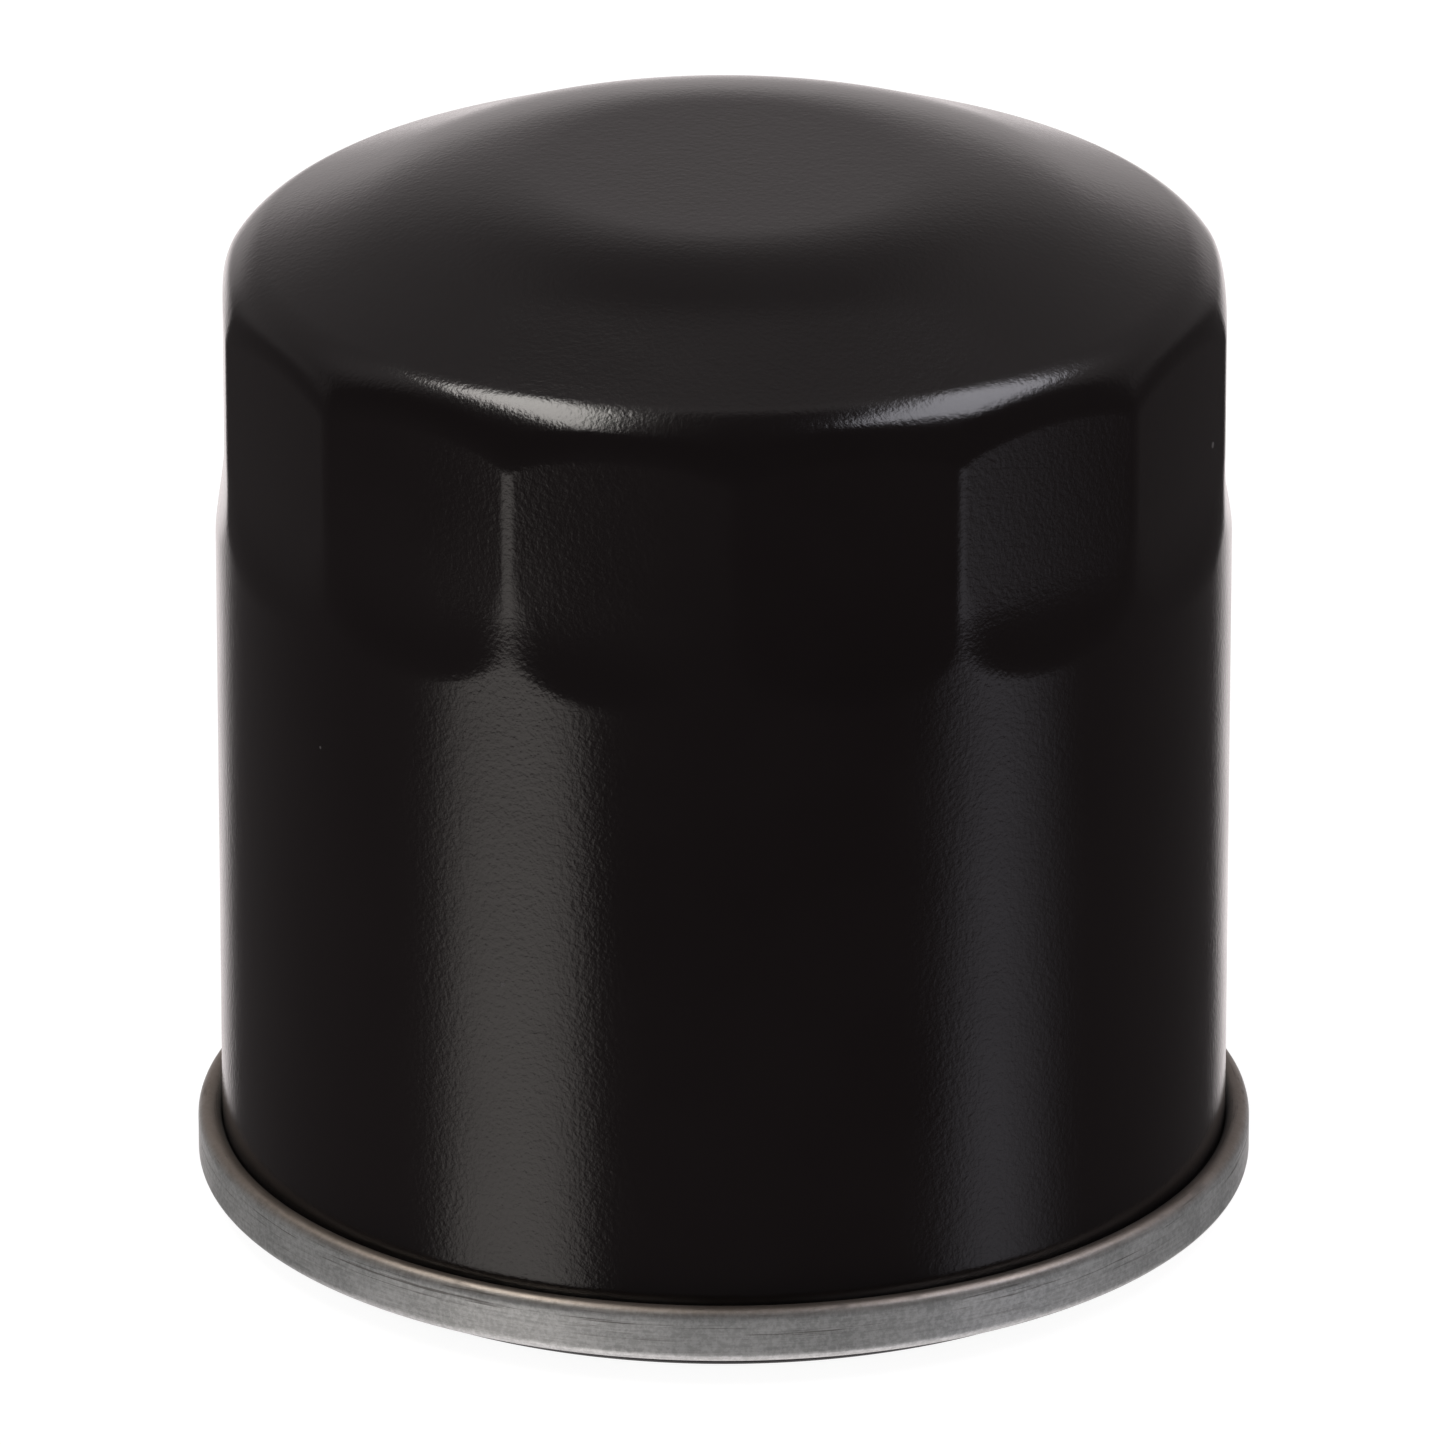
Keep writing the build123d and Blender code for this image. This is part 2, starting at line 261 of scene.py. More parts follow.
def lathe(name, outline, segments=192, form=None, closed=True, sharp=32, crowding=0.0):
    """A turned piece.

    The outline holds (radius, height) points. The form may move each one: (r, z, turn) to (r, z).
    A closed outline runs anticlockwise. An open one starts and ends on the axis, bottom first.
    Crowding draws the segments together at the ridges between wrench flats.
    """
    turns = []
    for number in range(segments):
        turn = TAU * number / segments
        turns.append(FLAT_TURN - math.pi / 2 + turn - crowding * math.sin(FLAT_COUNT * turn) / FLAT_COUNT)
    points = []
    rings = []
    for radius, height in outline:
        if radius < 1e-6:
            rings.append([len(points)] * segments)
            points.append((0, 0, height))
            continue
        rings.append(list(range(len(points), len(points) + segments)))
        for turn in turns:
            r, z = form(radius, height, turn) if form else (radius, height)
            points.append((r * math.cos(turn), r * math.sin(turn), z))
    pairs = list(zip(rings, rings[1:]))
    if closed:
        pairs.append((rings[-1], rings[0]))
    faces = []
    for low, high in pairs:
        for number in range(segments):
            after = (number + 1) % segments
            corners = [low[number], low[after], high[after], high[number]]
            faces.append([v for place, v in enumerate(corners) if v not in corners[:place]])
    return mesh_object(name, points, [face for face in faces if len(face) > 2], sharp)


def coil_spring(name, wire_r, coil_r, low_z, high_z, turns, sides=14, steps=40):
    """Compression spring with a closed coil at each end, ground flat."""
    total = turns + 2 * CLOSED_TURNS
    rise = high_z - low_z - 2 * wire_r
    closed_rise = CLOSED_PITCH * wire_r * CLOSED_TURNS
    ground = wire_r * GROUND_SHARE
    points = []
    count = round(total * steps)
    for number in range(count + 1):
        turn = total * number / count
        if turn < CLOSED_TURNS:
            height = closed_rise * turn / CLOSED_TURNS
        elif turn > total - CLOSED_TURNS:
            height = rise - closed_rise * (total - turn) / CLOSED_TURNS
        else:
            share = (turn - CLOSED_TURNS) / turns
            height = closed_rise + (rise - 2 * closed_rise) * share
        angle = TAU * turn
        for side in range(sides):
            around = TAU * side / sides
            r = coil_r + wire_r * math.cos(around)
            z = low_z + wire_r + height + wire_r * math.sin(around)
            z = min(max(z, low_z + ground), high_z - ground)
            points.append((r * math.cos(angle), r * math.sin(angle), z))
    low = min(z for _, _, z in points)
    high = max(z for _, _, z in points)
    stretch = (high_z - low_z) / (high - low)
    points = [(x, y, low_z + (z - low) * stretch) for x, y, z in points]
    faces = []
    for number in range(count):
        for side in range(sides):
            after = (side + 1) % sides
            base = number * sides
            faces.append([base + side, base + sides + side, base + sides + after, base + after])
    faces.append(list(range(sides)))
    faces.append(list(reversed(range(count * sides, (count + 1) * sides))))
    return mesh_object(name, points, faces, 50)


def cut(piece, cutters):
    """The piece with the cutters taken away from it."""
    for cutter in cutters:
        boolean = piece.modifiers.new("cut", "BOOLEAN")
        boolean.operation = "DIFFERENCE"
        boolean.solver = "EXACT"
        boolean.object = cutter
    bpy.context.view_layer.update()
    evaluated = piece.evaluated_get(bpy.context.evaluated_depsgraph_get())
    mesh = bpy.data.meshes.new_from_object(evaluated)
    piece.modifiers.clear()
    piece.data = mesh
    mesh.shade_smooth()
    mesh.set_sharp_from_angle(angle=math.radians(32))
    for cutter in cutters:
        bpy.data.objects.remove(cutter)
    return piece


# ---------- Node helpers ----------

class Nodes:
    """Short calls for building a node tree."""

    def __init__(self, tree):
        self.tree = tree
        tree.nodes.clear()

    def add(self, kind, inputs=(), **settings):
        node = self.tree.nodes.new(kind)
        for name, value in settings.items():
            setattr(node, name, value)
        for name, value in dict(inputs).items():
            self.put(node, name, value)
        return node

    def put(self, node, name, value):
        socket = node.inputs[name]
        if isinstance(value, bpy.types.NodeSocket):
            self.tree.links.new(value, socket)
        else:
            socket.default_value = value

    def math(self, operation, first, second=0.0, third=0.0):
        node = self.add("ShaderNodeMath", operation=operation)
        for number, value in enumerate((first, second, third)):
            self.put(node, number, value)
        return node.outputs[0]

    def ramp(self, value, low, high, low_out=0.0, high_out=1.0, smooth=True):
        node = self.add("ShaderNodeMapRange", interpolation_type="SMOOTHSTEP" if smooth else "LINEAR")
        for name, number in (
            ("Value", value),
            ("From Min", low),
            ("From Max", high),
            ("To Min", low_out),
            ("To Max", high_out),
        ):
            self.put(node, name, number)
        return node.outputs["Result"]

    def mix(self, share, first, second):
        node = self.add("ShaderNodeMix", data_type="RGBA")
        self.put(node, 0, share)
        self.put(node, 6, first)
        self.put(node, 7, second)
        return node.outputs[2]

    def noise(self, vector, scale, detail=3.0, roughness=0.55):
        inputs = {"Vector": vector, "Scale": scale, "Detail": detail, "Roughness": roughness}
        return self.add("ShaderNodeTexNoise", inputs).outputs["Fac"]

    def scaled(self, vector, factors):
        node = self.add("ShaderNodeVectorMath", operation="MULTIPLY")
        self.put(node, 0, vector)
        self.put(node, 1, factors)
        return node.outputs[0]

    def bump(self, height, distance, strength=1.0, normal=None):
        node = self.add("ShaderNodeBump", {"Height": height, "Distance": distance, "Strength": strength})
        if normal:
            self.put(node, "Normal", normal)
        return node.outputs["Normal"]


def rgba(red, green, blue):
    return (red, green, blue, 1.0)


def new_material(name):
    """A material, its node helper, its principled shader, and object coordinates in metres."""
    material = bpy.data.materials.new(name)
    material.use_nodes = True
    nodes = Nodes(material.node_tree)
    shader = nodes.add("ShaderNodeBsdfPrincipled")
    output = nodes.add("ShaderNodeOutputMaterial")
    material.node_tree.links.new(shader.outputs[0], output.inputs[0])
    place = nodes.add("ShaderNodeTexCoord").outputs["Object"]
    return material, nodes, shader, place


def round_the_axis(nodes, place, along, across, height):
    """Coordinates round Z, outwards and up, each with its own scale, and the height on its own."""
    parts = nodes.add("ShaderNodeSeparateXYZ", {0: place}).outputs
    squares = nodes.math("ADD", nodes.math("POWER", parts[0], 2.0), nodes.math("POWER", parts[1], 2.0))
    radius = nodes.math("SQRT", squares)
    safe = nodes.math("MAXIMUM", radius, 0.01 * MM)
    cosine = nodes.math("DIVIDE", parts[0], safe)
    sine = nodes.math("DIVIDE", parts[1], safe)
    risen = nodes.math("MULTIPLY", parts[2], height)
    level = nodes.math("ADD", risen, nodes.math("MULTIPLY", radius, across))
    joined = nodes.add(
        "ShaderNodeCombineXYZ",
        {0: nodes.math("MULTIPLY", cosine, along), 1: nodes.math("MULTIPLY", sine, along), 2: level},
    )
    return joined.outputs[0], parts[2]


# ---------- Materials ----------

def black_paint():
    """Gloss black baked enamel with a fine orange peel and dust."""
    material, nodes, shader, place = new_material("black_enamel")
    wave = nodes.noise(place, scale=900.0, detail=1.0, roughness=0.5)
    grain = nodes.noise(place, scale=3000.0, detail=2.0, roughness=0.6)
    cloud = nodes.noise(place, scale=70.0, detail=3.0)
    speck_cells = nodes.add("ShaderNodeTexVoronoi", {"Vector": place, "Scale": 210.0})
    speck_size = nodes.noise(place, scale=160.0, detail=0.0, roughness=0.5)
    speck_limit = nodes.ramp(speck_size, 0.6, 0.75, 0.0, 0.045)
    speck = nodes.math("LESS_THAN", speck_cells.outputs["Distance"], speck_limit)
    colour = nodes.mix(cloud, rgba(0.0034, 0.0020, 0.0022), rgba(0.0050, 0.0032, 0.0034))
    nodes.put(shader, "Base Color", nodes.mix(speck, colour, rgba(0.06, 0.055, 0.055)))
    rough = nodes.ramp(cloud, 0.3, 0.7, 0.12, 0.17)
    rough = nodes.math("ADD", rough, nodes.math("MULTIPLY", grain, 0.03))
    nodes.put(shader, "Roughness", nodes.math("ADD", rough, nodes.math("MULTIPLY", speck, 0.4)))
    shallow = nodes.bump(wave, 0.006 * MM)
    fine = nodes.bump(grain, 0.016 * MM, normal=shallow)
    nodes.put(shader, "Normal", nodes.bump(speck, 0.02 * MM, normal=fine))
    return material


def seam_steel():
    """Tinned sheet: dull, finely mottled, with roller marks, and darker and browner towards its top, where
    the seam meets the paint.
    """
    material, nodes, shader, place = new_material("tinned_steel")
    rings, height = round_the_axis(nodes, place, along=0.012, across=10.0, height=16.0)
    streaks = nodes.noise(rings, scale=260.0, detail=4.0, roughness=0.65)
    fine_rings, _ = round_the_axis(nodes, place, along=0.05, across=30.0, height=40.0)
    brushed = nodes.noise(fine_rings, scale=160.0, detail=3.0, roughness=0.7)
    spangle = nodes.noise(place, scale=3000.0, detail=3.0, roughness=0.7)
    cloud = nodes.noise(place, scale=260.0, detail=3.0)
    high = nodes.ramp(height, 4.5 * MM, 5.2 * MM)
    scratch = nodes.ramp(streaks, 0.56, 0.66)
    scratch = nodes.math("MULTIPLY", scratch, nodes.ramp(height, 2.6 * MM, 3.6 * MM, 0.1, 1.0))
    tone = nodes.mix(nodes.ramp(cloud, 0.3, 0.7), rgba(0.42, 0.43, 0.425), rgba(0.54, 0.545, 0.54))
    tone = nodes.mix(nodes.ramp(brushed, 0.38, 0.62, 0.0, 0.6), tone, rgba(0.33, 0.335, 0.335))
    tone = nodes.mix(nodes.ramp(spangle, 0.40, 0.62, 0.0, 0.36), tone, rgba(0.76, 0.77, 0.77))
    # Darker and browner towards the seam's top edge.
    tone = nodes.mix(nodes.math("MULTIPLY", high, 0.8), tone, rgba(0.17, 0.125, 0.09))
    tone = nodes.mix(nodes.math("MULTIPLY", scratch, 0.7), tone, rgba(0.11, 0.10, 0.09))
    nodes.put(shader, "Base Color", tone)
    shader.inputs["Metallic"].default_value = 0.75
    rough = nodes.ramp(cloud, 0.3, 0.7, 0.38, 0.48)
    nodes.put(shader, "Roughness", nodes.math("ADD", rough, nodes.math("MULTIPLY", scratch, 0.15)))
    grooves = nodes.bump(brushed, 0.006 * MM, normal=nodes.bump(streaks, 0.008 * MM))
    nodes.put(shader, "Normal", nodes.bump(spangle, 0.008 * MM, normal=grooves))
    return material


def sheet_steel(name, light, dark, roughness, brushed=0.02, oil=0.0):
    """Plain steel with turning or rolling marks, mottling and, where wanted, an oily sheen."""
    material, nodes, shader, place = new_material(name)
    rings, _ = round_the_axis(nodes, place, along=brushed, across=20.0, height=20.0)
    streaks = nodes.noise(rings, scale=180.0, detail=4.0, roughness=0.6)
    cloud = nodes.noise(place, scale=260.0, detail=4.0, roughness=0.6)
    fine = nodes.noise(place, scale=2600.0, detail=2.0)
    tone = nodes.mix(nodes.ramp(cloud, 0.3, 0.7), dark, light)
    tone = nodes.mix(nodes.ramp(streaks, 0.6, 0.75, 0.0, 0.4), tone, rgba(0.2, 0.19, 0.17))
    nodes.put(shader, "Base Color", tone)
    shader.inputs["Metallic"].default_value = 1.0
    rough = nodes.ramp(cloud, 0.25, 0.75, roughness - 0.05, roughness + 0.07)
    nodes.put(shader, "Roughness", nodes.math("ADD", rough, nodes.math("MULTIPLY", fine, 0.05)))
    if oil:
        shader.inputs["Coat Weight"].default_value = oil
        shader.inputs["Coat Roughness"].default_value = 0.12
    nodes.put(shader, "Normal", nodes.bump(fine, 0.003 * MM, normal=nodes.bump(streaks, 0.01 * MM)))
    return material


def moulded_rubber(name, tone, roughness, dust):
    """Moulded rubber: a fine matt skin, faint flow rings and a little bloom."""
    material, nodes, shader, place = new_material(name)
    rings, _ = round_the_axis(nodes, place, along=0.02, across=30.0, height=30.0)
    flow = nodes.noise(rings, scale=90.0, detail=2.0)
    skin = nodes.noise(place, scale=3800.0, detail=3.0, roughness=0.6)
    bloom = nodes.noise(place, scale=320.0, detail=4.0, roughness=0.65)
    paler = rgba(*(part + dust for part in tone[:3]))
    nodes.put(shader, "Base Color", nodes.mix(nodes.ramp(bloom, 0.45, 0.75), tone, paler))
    nodes.put(shader, "Roughness", nodes.ramp(bloom, 0.3, 0.7, roughness - 0.06, roughness + 0.08))
    shader.inputs["Specular IOR Level"].default_value = 0.42
    nodes.put(shader, "Normal", nodes.bump(skin, 0.008 * MM, normal=nodes.bump(flow, 0.02 * MM)))
    return material


def filter_paper():
    """Resin-cured cellulose: warm, fibrous, with the embossed dimples that hold pleats apart."""
    material, nodes, shader, place = new_material("cured_paper")
    stretched = nodes.scaled(place, (1.0, 1.0, 0.35))
    fibre = nodes.noise(stretched, scale=2600.0, detail=4.0, roughness=0.7)
    blotch = nodes.noise(place, scale=150.0, detail=4.0)
    tone = nodes.mix(blotch, rgba(0.60, 0.44, 0.22), rgba(0.72, 0.57, 0.33))
    raised = nodes.ramp(fibre, 0.55, 0.75, 0.0, 0.5)
    nodes.put(shader, "Base Color", nodes.mix(raised, tone, rgba(0.80, 0.68, 0.46)))
    nodes.put(shader, "Roughness", nodes.ramp(fibre, 0.3, 0.7, 0.78, 0.95))
    dimples = nodes.add("ShaderNodeTexVoronoi", {"Vector": place, "Scale": 420.0}).outputs["Distance"]
    nodes.put(shader, "Normal", nodes.bump(fibre, 0.02 * MM, normal=nodes.bump(dimples, 0.06 * MM)))
    return material


def plastisol():
    """Cured plastisol: brick red, a little glossy, with small bubbles."""
    material, nodes, shader, place = new_material("cured_plastisol")
    cloud = nodes.noise(place, scale=180.0, detail=4.0)
    bubbles = nodes.add("ShaderNodeTexVoronoi", {"Vector": place, "Scale": 900.0}).outputs["Distance"]
    nodes.put(shader, "Base Color", nodes.mix(cloud, rgba(0.28, 0.06, 0.035), rgba(0.36, 0.09, 0.05)))
    nodes.put(shader, "Roughness", nodes.ramp(cloud, 0.3, 0.7, 0.34, 0.5))
    nodes.put(shader, "Normal", nodes.bump(nodes.ramp(bubbles, 0.0, 0.2), 0.03 * MM))
    return material


FLOOR_GLOW = 0.93


def pale_floor():
    """Plain near-white floor, clear when seen from below."""
    material, nodes, shader, place = new_material("pale_floor")
    cloud = nodes.noise(place, scale=3.0, detail=2.0)
    nodes.put(shader, "Base Color", nodes.mix(cloud, rgba(0.17, 0.17, 0.17), rgba(0.19, 0.19, 0.19)))
    shader.inputs["Roughness"].default_value = 0.9
    shader.inputs["Specular IOR Level"].default_value = 0.1
    shader.inputs["Emission Color"].default_value = rgba(1.0, 1.0, 1.0)
    shader.inputs["Emission Strength"].default_value = FLOOR_GLOW
    output = shader.outputs[0].links[0].to_node
    behind = nodes.add("ShaderNodeNewGeometry").outputs["Backfacing"]
    clear = nodes.add("ShaderNodeBsdfTransparent").outputs[0]
    sides = nodes.add("ShaderNodeMixShader", {0: behind, 1: shader.outputs[0], 2: clear})
    nodes.put(output, 0, sides.outputs[0])
    return material


enamel = black_paint()
tinned = seam_steel()
cap_steel = sheet_steel("pressed_steel", rgba(0.62, 0.62, 0.61), rgba(0.50, 0.50, 0.49), 0.32)
plate_steel = sheet_steel("plate_steel", rgba(0.56, 0.53, 0.46), rgba(0.42, 0.39, 0.33), 0.36, oil=0.25)
tube_steel = sheet_steel("tube_steel", rgba(0.55, 0.55, 0.54), rgba(0.44, 0.44, 0.43), 0.38)
spring_steel = sheet_steel("spring_steel", rgba(0.36, 0.36, 0.37), rgba(0.25, 0.25, 0.26), 0.3, oil=0.4)
gasket_rubber = moulded_rubber("gasket_rubber", rgba(0.012, 0.012, 0.013), 0.42, 0.012)
valve_rubber = moulded_rubber("valve_rubber", rgba(0.020, 0.020, 0.022), 0.36, 0.02)
compound = moulded_rubber("seam_compound", rgba(0.05, 0.05, 0.055), 0.6, 0.02)
paper = filter_paper()
paste = plastisol()


# ---------- Placing ----------

body_of_node = {}
for body, members in frame["record"]["behaviour"]["bodies"].items():
    for member in members:
        body_of_node[member] = body


def stands_for(piece, node, material, ride=True):
    """The piece takes a CAD node's place: its body and the given material."""
    piece.data.materials.clear()
    piece.data.materials.append(material)
    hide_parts(node)
    if ride:
        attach(piece, body_of_node[node])
    return piece


# ---------- Can ----------

def soft_least(first, second, width):
    """The smaller of two values, with the change between them rounded over a width."""
    blend = max(width - abs(first - second), 0.0) / width
    return min(first, second) - blend * blend * width / 4


def flat_radius(z, turn, inset):
    """Distance from the axis to the wrench flats, along a ray at this turn and height.

    Each flat is slightly crowned, meets the next in a rounded ridge, and runs out downwards.
    """
    pitch = TAU / FLAT_COUNT
    first = FLAT_TURN - math.pi / 2 + pitch / 2
    off = (turn - first + pitch / 2) % pitch - pitch / 2
    face_r = FLAT_APOTHEM - inset
    crowned = []
    for angle in (off, pitch - abs(off)):
        across = face_r * math.tan(angle)
        crowned.append((face_r + FLAT_CROWN - across * across / (2 * FLAT_CROWN_R)) / math.cos(angle))
    radius = soft_least(*crowned, RIDGE_SOFTNESS)
    drop = max(FLAT_START_Z - z, 0.0) / FLAT_RUNOUT
    return radius + (CAN_R - FLAT_APOTHEM) * drop**3


def eased(value, low, high):
    """From 0 at low to 1 at high, level at both ends."""
    share = min(max((value - low) / (high - low), 0.0), 1.0)
    return share * share * (3 - 2 * share)


def flat_softness(z):
    """How widely a flat blends into the form round it: narrowest up its middle, widest at the shoulder."""
    foot = (MIDDLE_SOFTNESS - RUNOUT_SOFTNESS) * eased(z, SHARPENING_LOW_Z, SHARPENING_TOP_Z)
    top = (SHOULDER_SOFTNESS - MIDDLE_SOFTNESS) * eased(z, SOFTENING_LOW_Z, SOFTENING_TOP_Z)
    return RUNOUT_SOFTNESS + foot + top


def dome_outline(inset):
    """From the middle of the disc down to the shoulder's lower end."""
    top_z = DOME_TOP_Z - inset
    blend_r = DISC_BLEND - inset
    shoulder_r = SHOULDER_BLEND - inset
    corner_r = DISC_R - inset * math.tan(CONE_SLOPE / 2)
    blend_start_r = corner_r - blend_r * math.tan(CONE_SLOPE / 2)
    shoulder_centre_r = CAN_R - SHOULDER_BLEND
    shoulder_centre_z = DOME_TOP_Z - (shoulder_centre_r - DISC_R) * math.tan(CONE_SLOPE)
    shoulder_centre_z -= SHOULDER_BLEND / math.cos(CONE_SLOPE)
    upright = math.pi / 2
    blend = arc((blend_start_r, top_z - blend_r), blend_r, upright, upright - CONE_SLOPE, math.radians(1.6))
    centre = (shoulder_centre_r, shoulder_centre_z)
    shoulder = arc(centre, shoulder_r, upright - CONE_SLOPE, 0, math.radians(2.2))
    return divided([(0, top_z), *blend, *shoulder], 1.6, closed=False)


def can():
    """Deep-drawn can, from the dome to the hook inside the seam and back up its inner side."""
    hook_middle_r = SEAM_R - 1.5 * SHEET - SEAM_GAP
    fold_z = SEAM_BOTTOM_Z + 1.5 * SHEET + SEAM_GAP
    tip_z = SEAM_TOP_Z - 1.5 * SHEET
    inner_fold = FOLD_R - SHEET / 2
    outer_fold = FOLD_R + SHEET / 2
    outside = dome_outline(0)
    inside = dome_outline(CAN_WALL)
    flats_low_z = FLAT_START_Z - FLAT_RUNOUT - FLAT_FOOT
    shoulder_z = outside[-1][1]
    depth = flats_low_z - shoulder_z
    flats_zone = [(CAN_R, shoulder_z + depth * number / FLAT_ROWS) for number in range(1, FLAT_ROWS + 1)]
    inner_zone = [(CAN_R - CAN_WALL, z) for _, z in flats_zone]
    wall = divided([(CAN_R, flats_low_z - 1), (CAN_R, WALL_LOW_Z)], 3.0, closed=False)
    inner_wall = [(CAN_R - CAN_WALL, z) for _, z in wall]
    hook = rounded(
        [
            (CAN_R, HOOK_START_Z),
            (CAN_R, fold_z + SHEET / 2),
            (hook_middle_r - SHEET / 2, fold_z + SHEET / 2),
            (hook_middle_r - SHEET / 2, tip_z),
            (hook_middle_r + SHEET / 2, tip_z),
            (hook_middle_r + SHEET / 2, fold_z - SHEET / 2),
            (CAN_R - CAN_WALL, fold_z - SHEET / 2),
            (CAN_R - CAN_WALL, HOOK_START_Z),
        ],
        [0, inner_fold, inner_fold, 0.1, 0.1, outer_fold, outer_fold, 0],
    )
    outer_side = [*outside, *flats_zone, *wall, *hook]
    inner_side = [*reversed(inner_wall), *reversed(inner_zone), *reversed(inside)]
    outline = [*outer_side, *inner_side]
    insets = [0.0] * len(outer_side) + [CAN_WALL] * len(inner_side)
    inset_at = dict(zip(outline, insets))

    def with_flats(radius, height, turn):
        if height < flats_low_z - 0.5:
            return radius, height
        flat_r = flat_radius(height, turn, inset_at[radius, height])
        return soft_least(radius, flat_r, flat_softness(height)), height

    outline.reverse()
    segments = FLAT_COUNT * SEGMENTS_PER_FLAT
    piece = lathe("can", outline, segments, with_flats, closed=False, sharp=60, crowding=RIDGE_CROWDING)
    return stands_for(piece, "can_shell", enamel)


# ---------- Seam, lid and gasket ----------

def weld_dimple(radius, turn):
    """How far a spot weld's mark is pressed in at this place."""
    pitch = TAU / WELD_COUNT
    off = (turn + pitch / 2) % pitch - pitch / 2
    distance = math.hypot(radius * math.cos(off) - WELD_CIRCLE_R, radius * math.sin(off))
    share = min(distance / WELD_R, 1.0)
    return WELD_DEPTH * (1 - share * share) ** 2


def lid():
    """Lid with its seam, gasket groove and welded ring."""
    seam_middle_r = SEAM_R - SHEET / 2
    cover_hook_r = CAN_R + SEAM_GAP + SHEET / 2
    chuck_r = CAN_R - CAN_WALL - SEAM_GAP - SHEET / 2
    low_z = SEAM_BOTTOM_Z + SHEET / 2
    middle_line = [
        (cover_hook_r, low_z + 2 * SHEET),
        (cover_hook_r, SEAM_TOP_Z - SHEET / 2),
        (seam_middle_r, SEAM_TOP_Z - SHEET / 2),
        (seam_middle_r, low_z),
        (chuck_r, low_z),
        (chuck_r, GROOVE_FLOOR_Z + SHEET / 2),
        (GROOVE_INNER_R + SHEET / 2, GROOVE_FLOOR_Z + SHEET / 2),
        (GROOVE_INNER_R + SHEET / 2, LID_RING_Z + SHEET / 2),
        (LID_MOUTH_R, LID_RING_Z + SHEET / 2),
    ]
    outline = divided(sheet_outline(middle_line, SHEET, FOLD_R), 0.4)

    def pressed(radius, height, turn):
        if radius < GROOVE_INNER_R - 0.5 and height < LID_RING_Z + SHEET / 2:
            height += weld_dimple(radius, turn)
        if radius > SEAM_R - SHEET and height > SEAM_BOTTOM_Z + 0.6:
            radius -= SEAM_WAVE * (0.5 + 0.5 * math.sin(9 * turn + 1.0)) * (0.6 + 0.4 * math.sin(23 * turn))
        return radius, height

    piece = lathe("seamed_lid", outline, 384, pressed)
    return stands_for(piece, "seaming_lid", tinned)


def gasket():
    """Moulded ring with rounded edges and a faint mould line on both its sides."""
    high_z = GROOVE_FLOOR_Z
    corners = [(GASKET_HOLE_R, 0), (GASKET_R, 0), (GASKET_R, high_z), (GASKET_HOLE_R, high_z)]
    outline = divided(rounded(corners, GASKET_ROUNDING, closed=True), 0.35)

    def mould_line(radius, height, turn):
        middle = (GASKET_HOLE_R + GASKET_R) / 2
        if abs(height - GROOVE_FLOOR_Z / 2) < 0.1:
            radius += MOULD_LINE if radius > middle else -MOULD_LINE
        return radius, height

    piece = lathe("gasket_ring", outline, 288, mould_line)
    return stands_for(piece, "sealing_gasket", gasket_rubber)


def seam_bead():
    """Compound that fills the tip of the hook."""
    middle_r = SEAM_R - 1.5 * SHEET - SEAM_GAP
    tip_z = SEAM_TOP_Z - 1.5 * SHEET
    half = 0.15
    low_z = tip_z + 0.02
    high_z = tip_z + 0.18
    inner_r = middle_r - half
    outer_r = middle_r + half
    corners = [(inner_r, low_z), (outer_r, low_z), (outer_r, high_z), (inner_r, high_z)]
    piece = lathe("seam_bead", rounded(corners, 0.06, closed=True), 192)
    return stands_for(piece, "seam_compound", compound)


# ---------- Base plate ----------

def thread_radius(height, turn):
    """The tapped wall's radius: a 60 degree right-hand thread that fades out at both ends."""
    phase = (height / THREAD_PITCH - turn / TAU) % 1.0
    ridge = abs(2 * phase - 1)
    depth = THREAD_DEPTH * min(max(1.25 * ridge - 0.12, 0.0), 1.0)
    fade = min(height - PLATE_LOW_Z, COLLAR_TOP_Z - height) / THREAD_FADE
    return THREAD_MINOR_R + depth * min(max(fade, 0.0), 1.0)


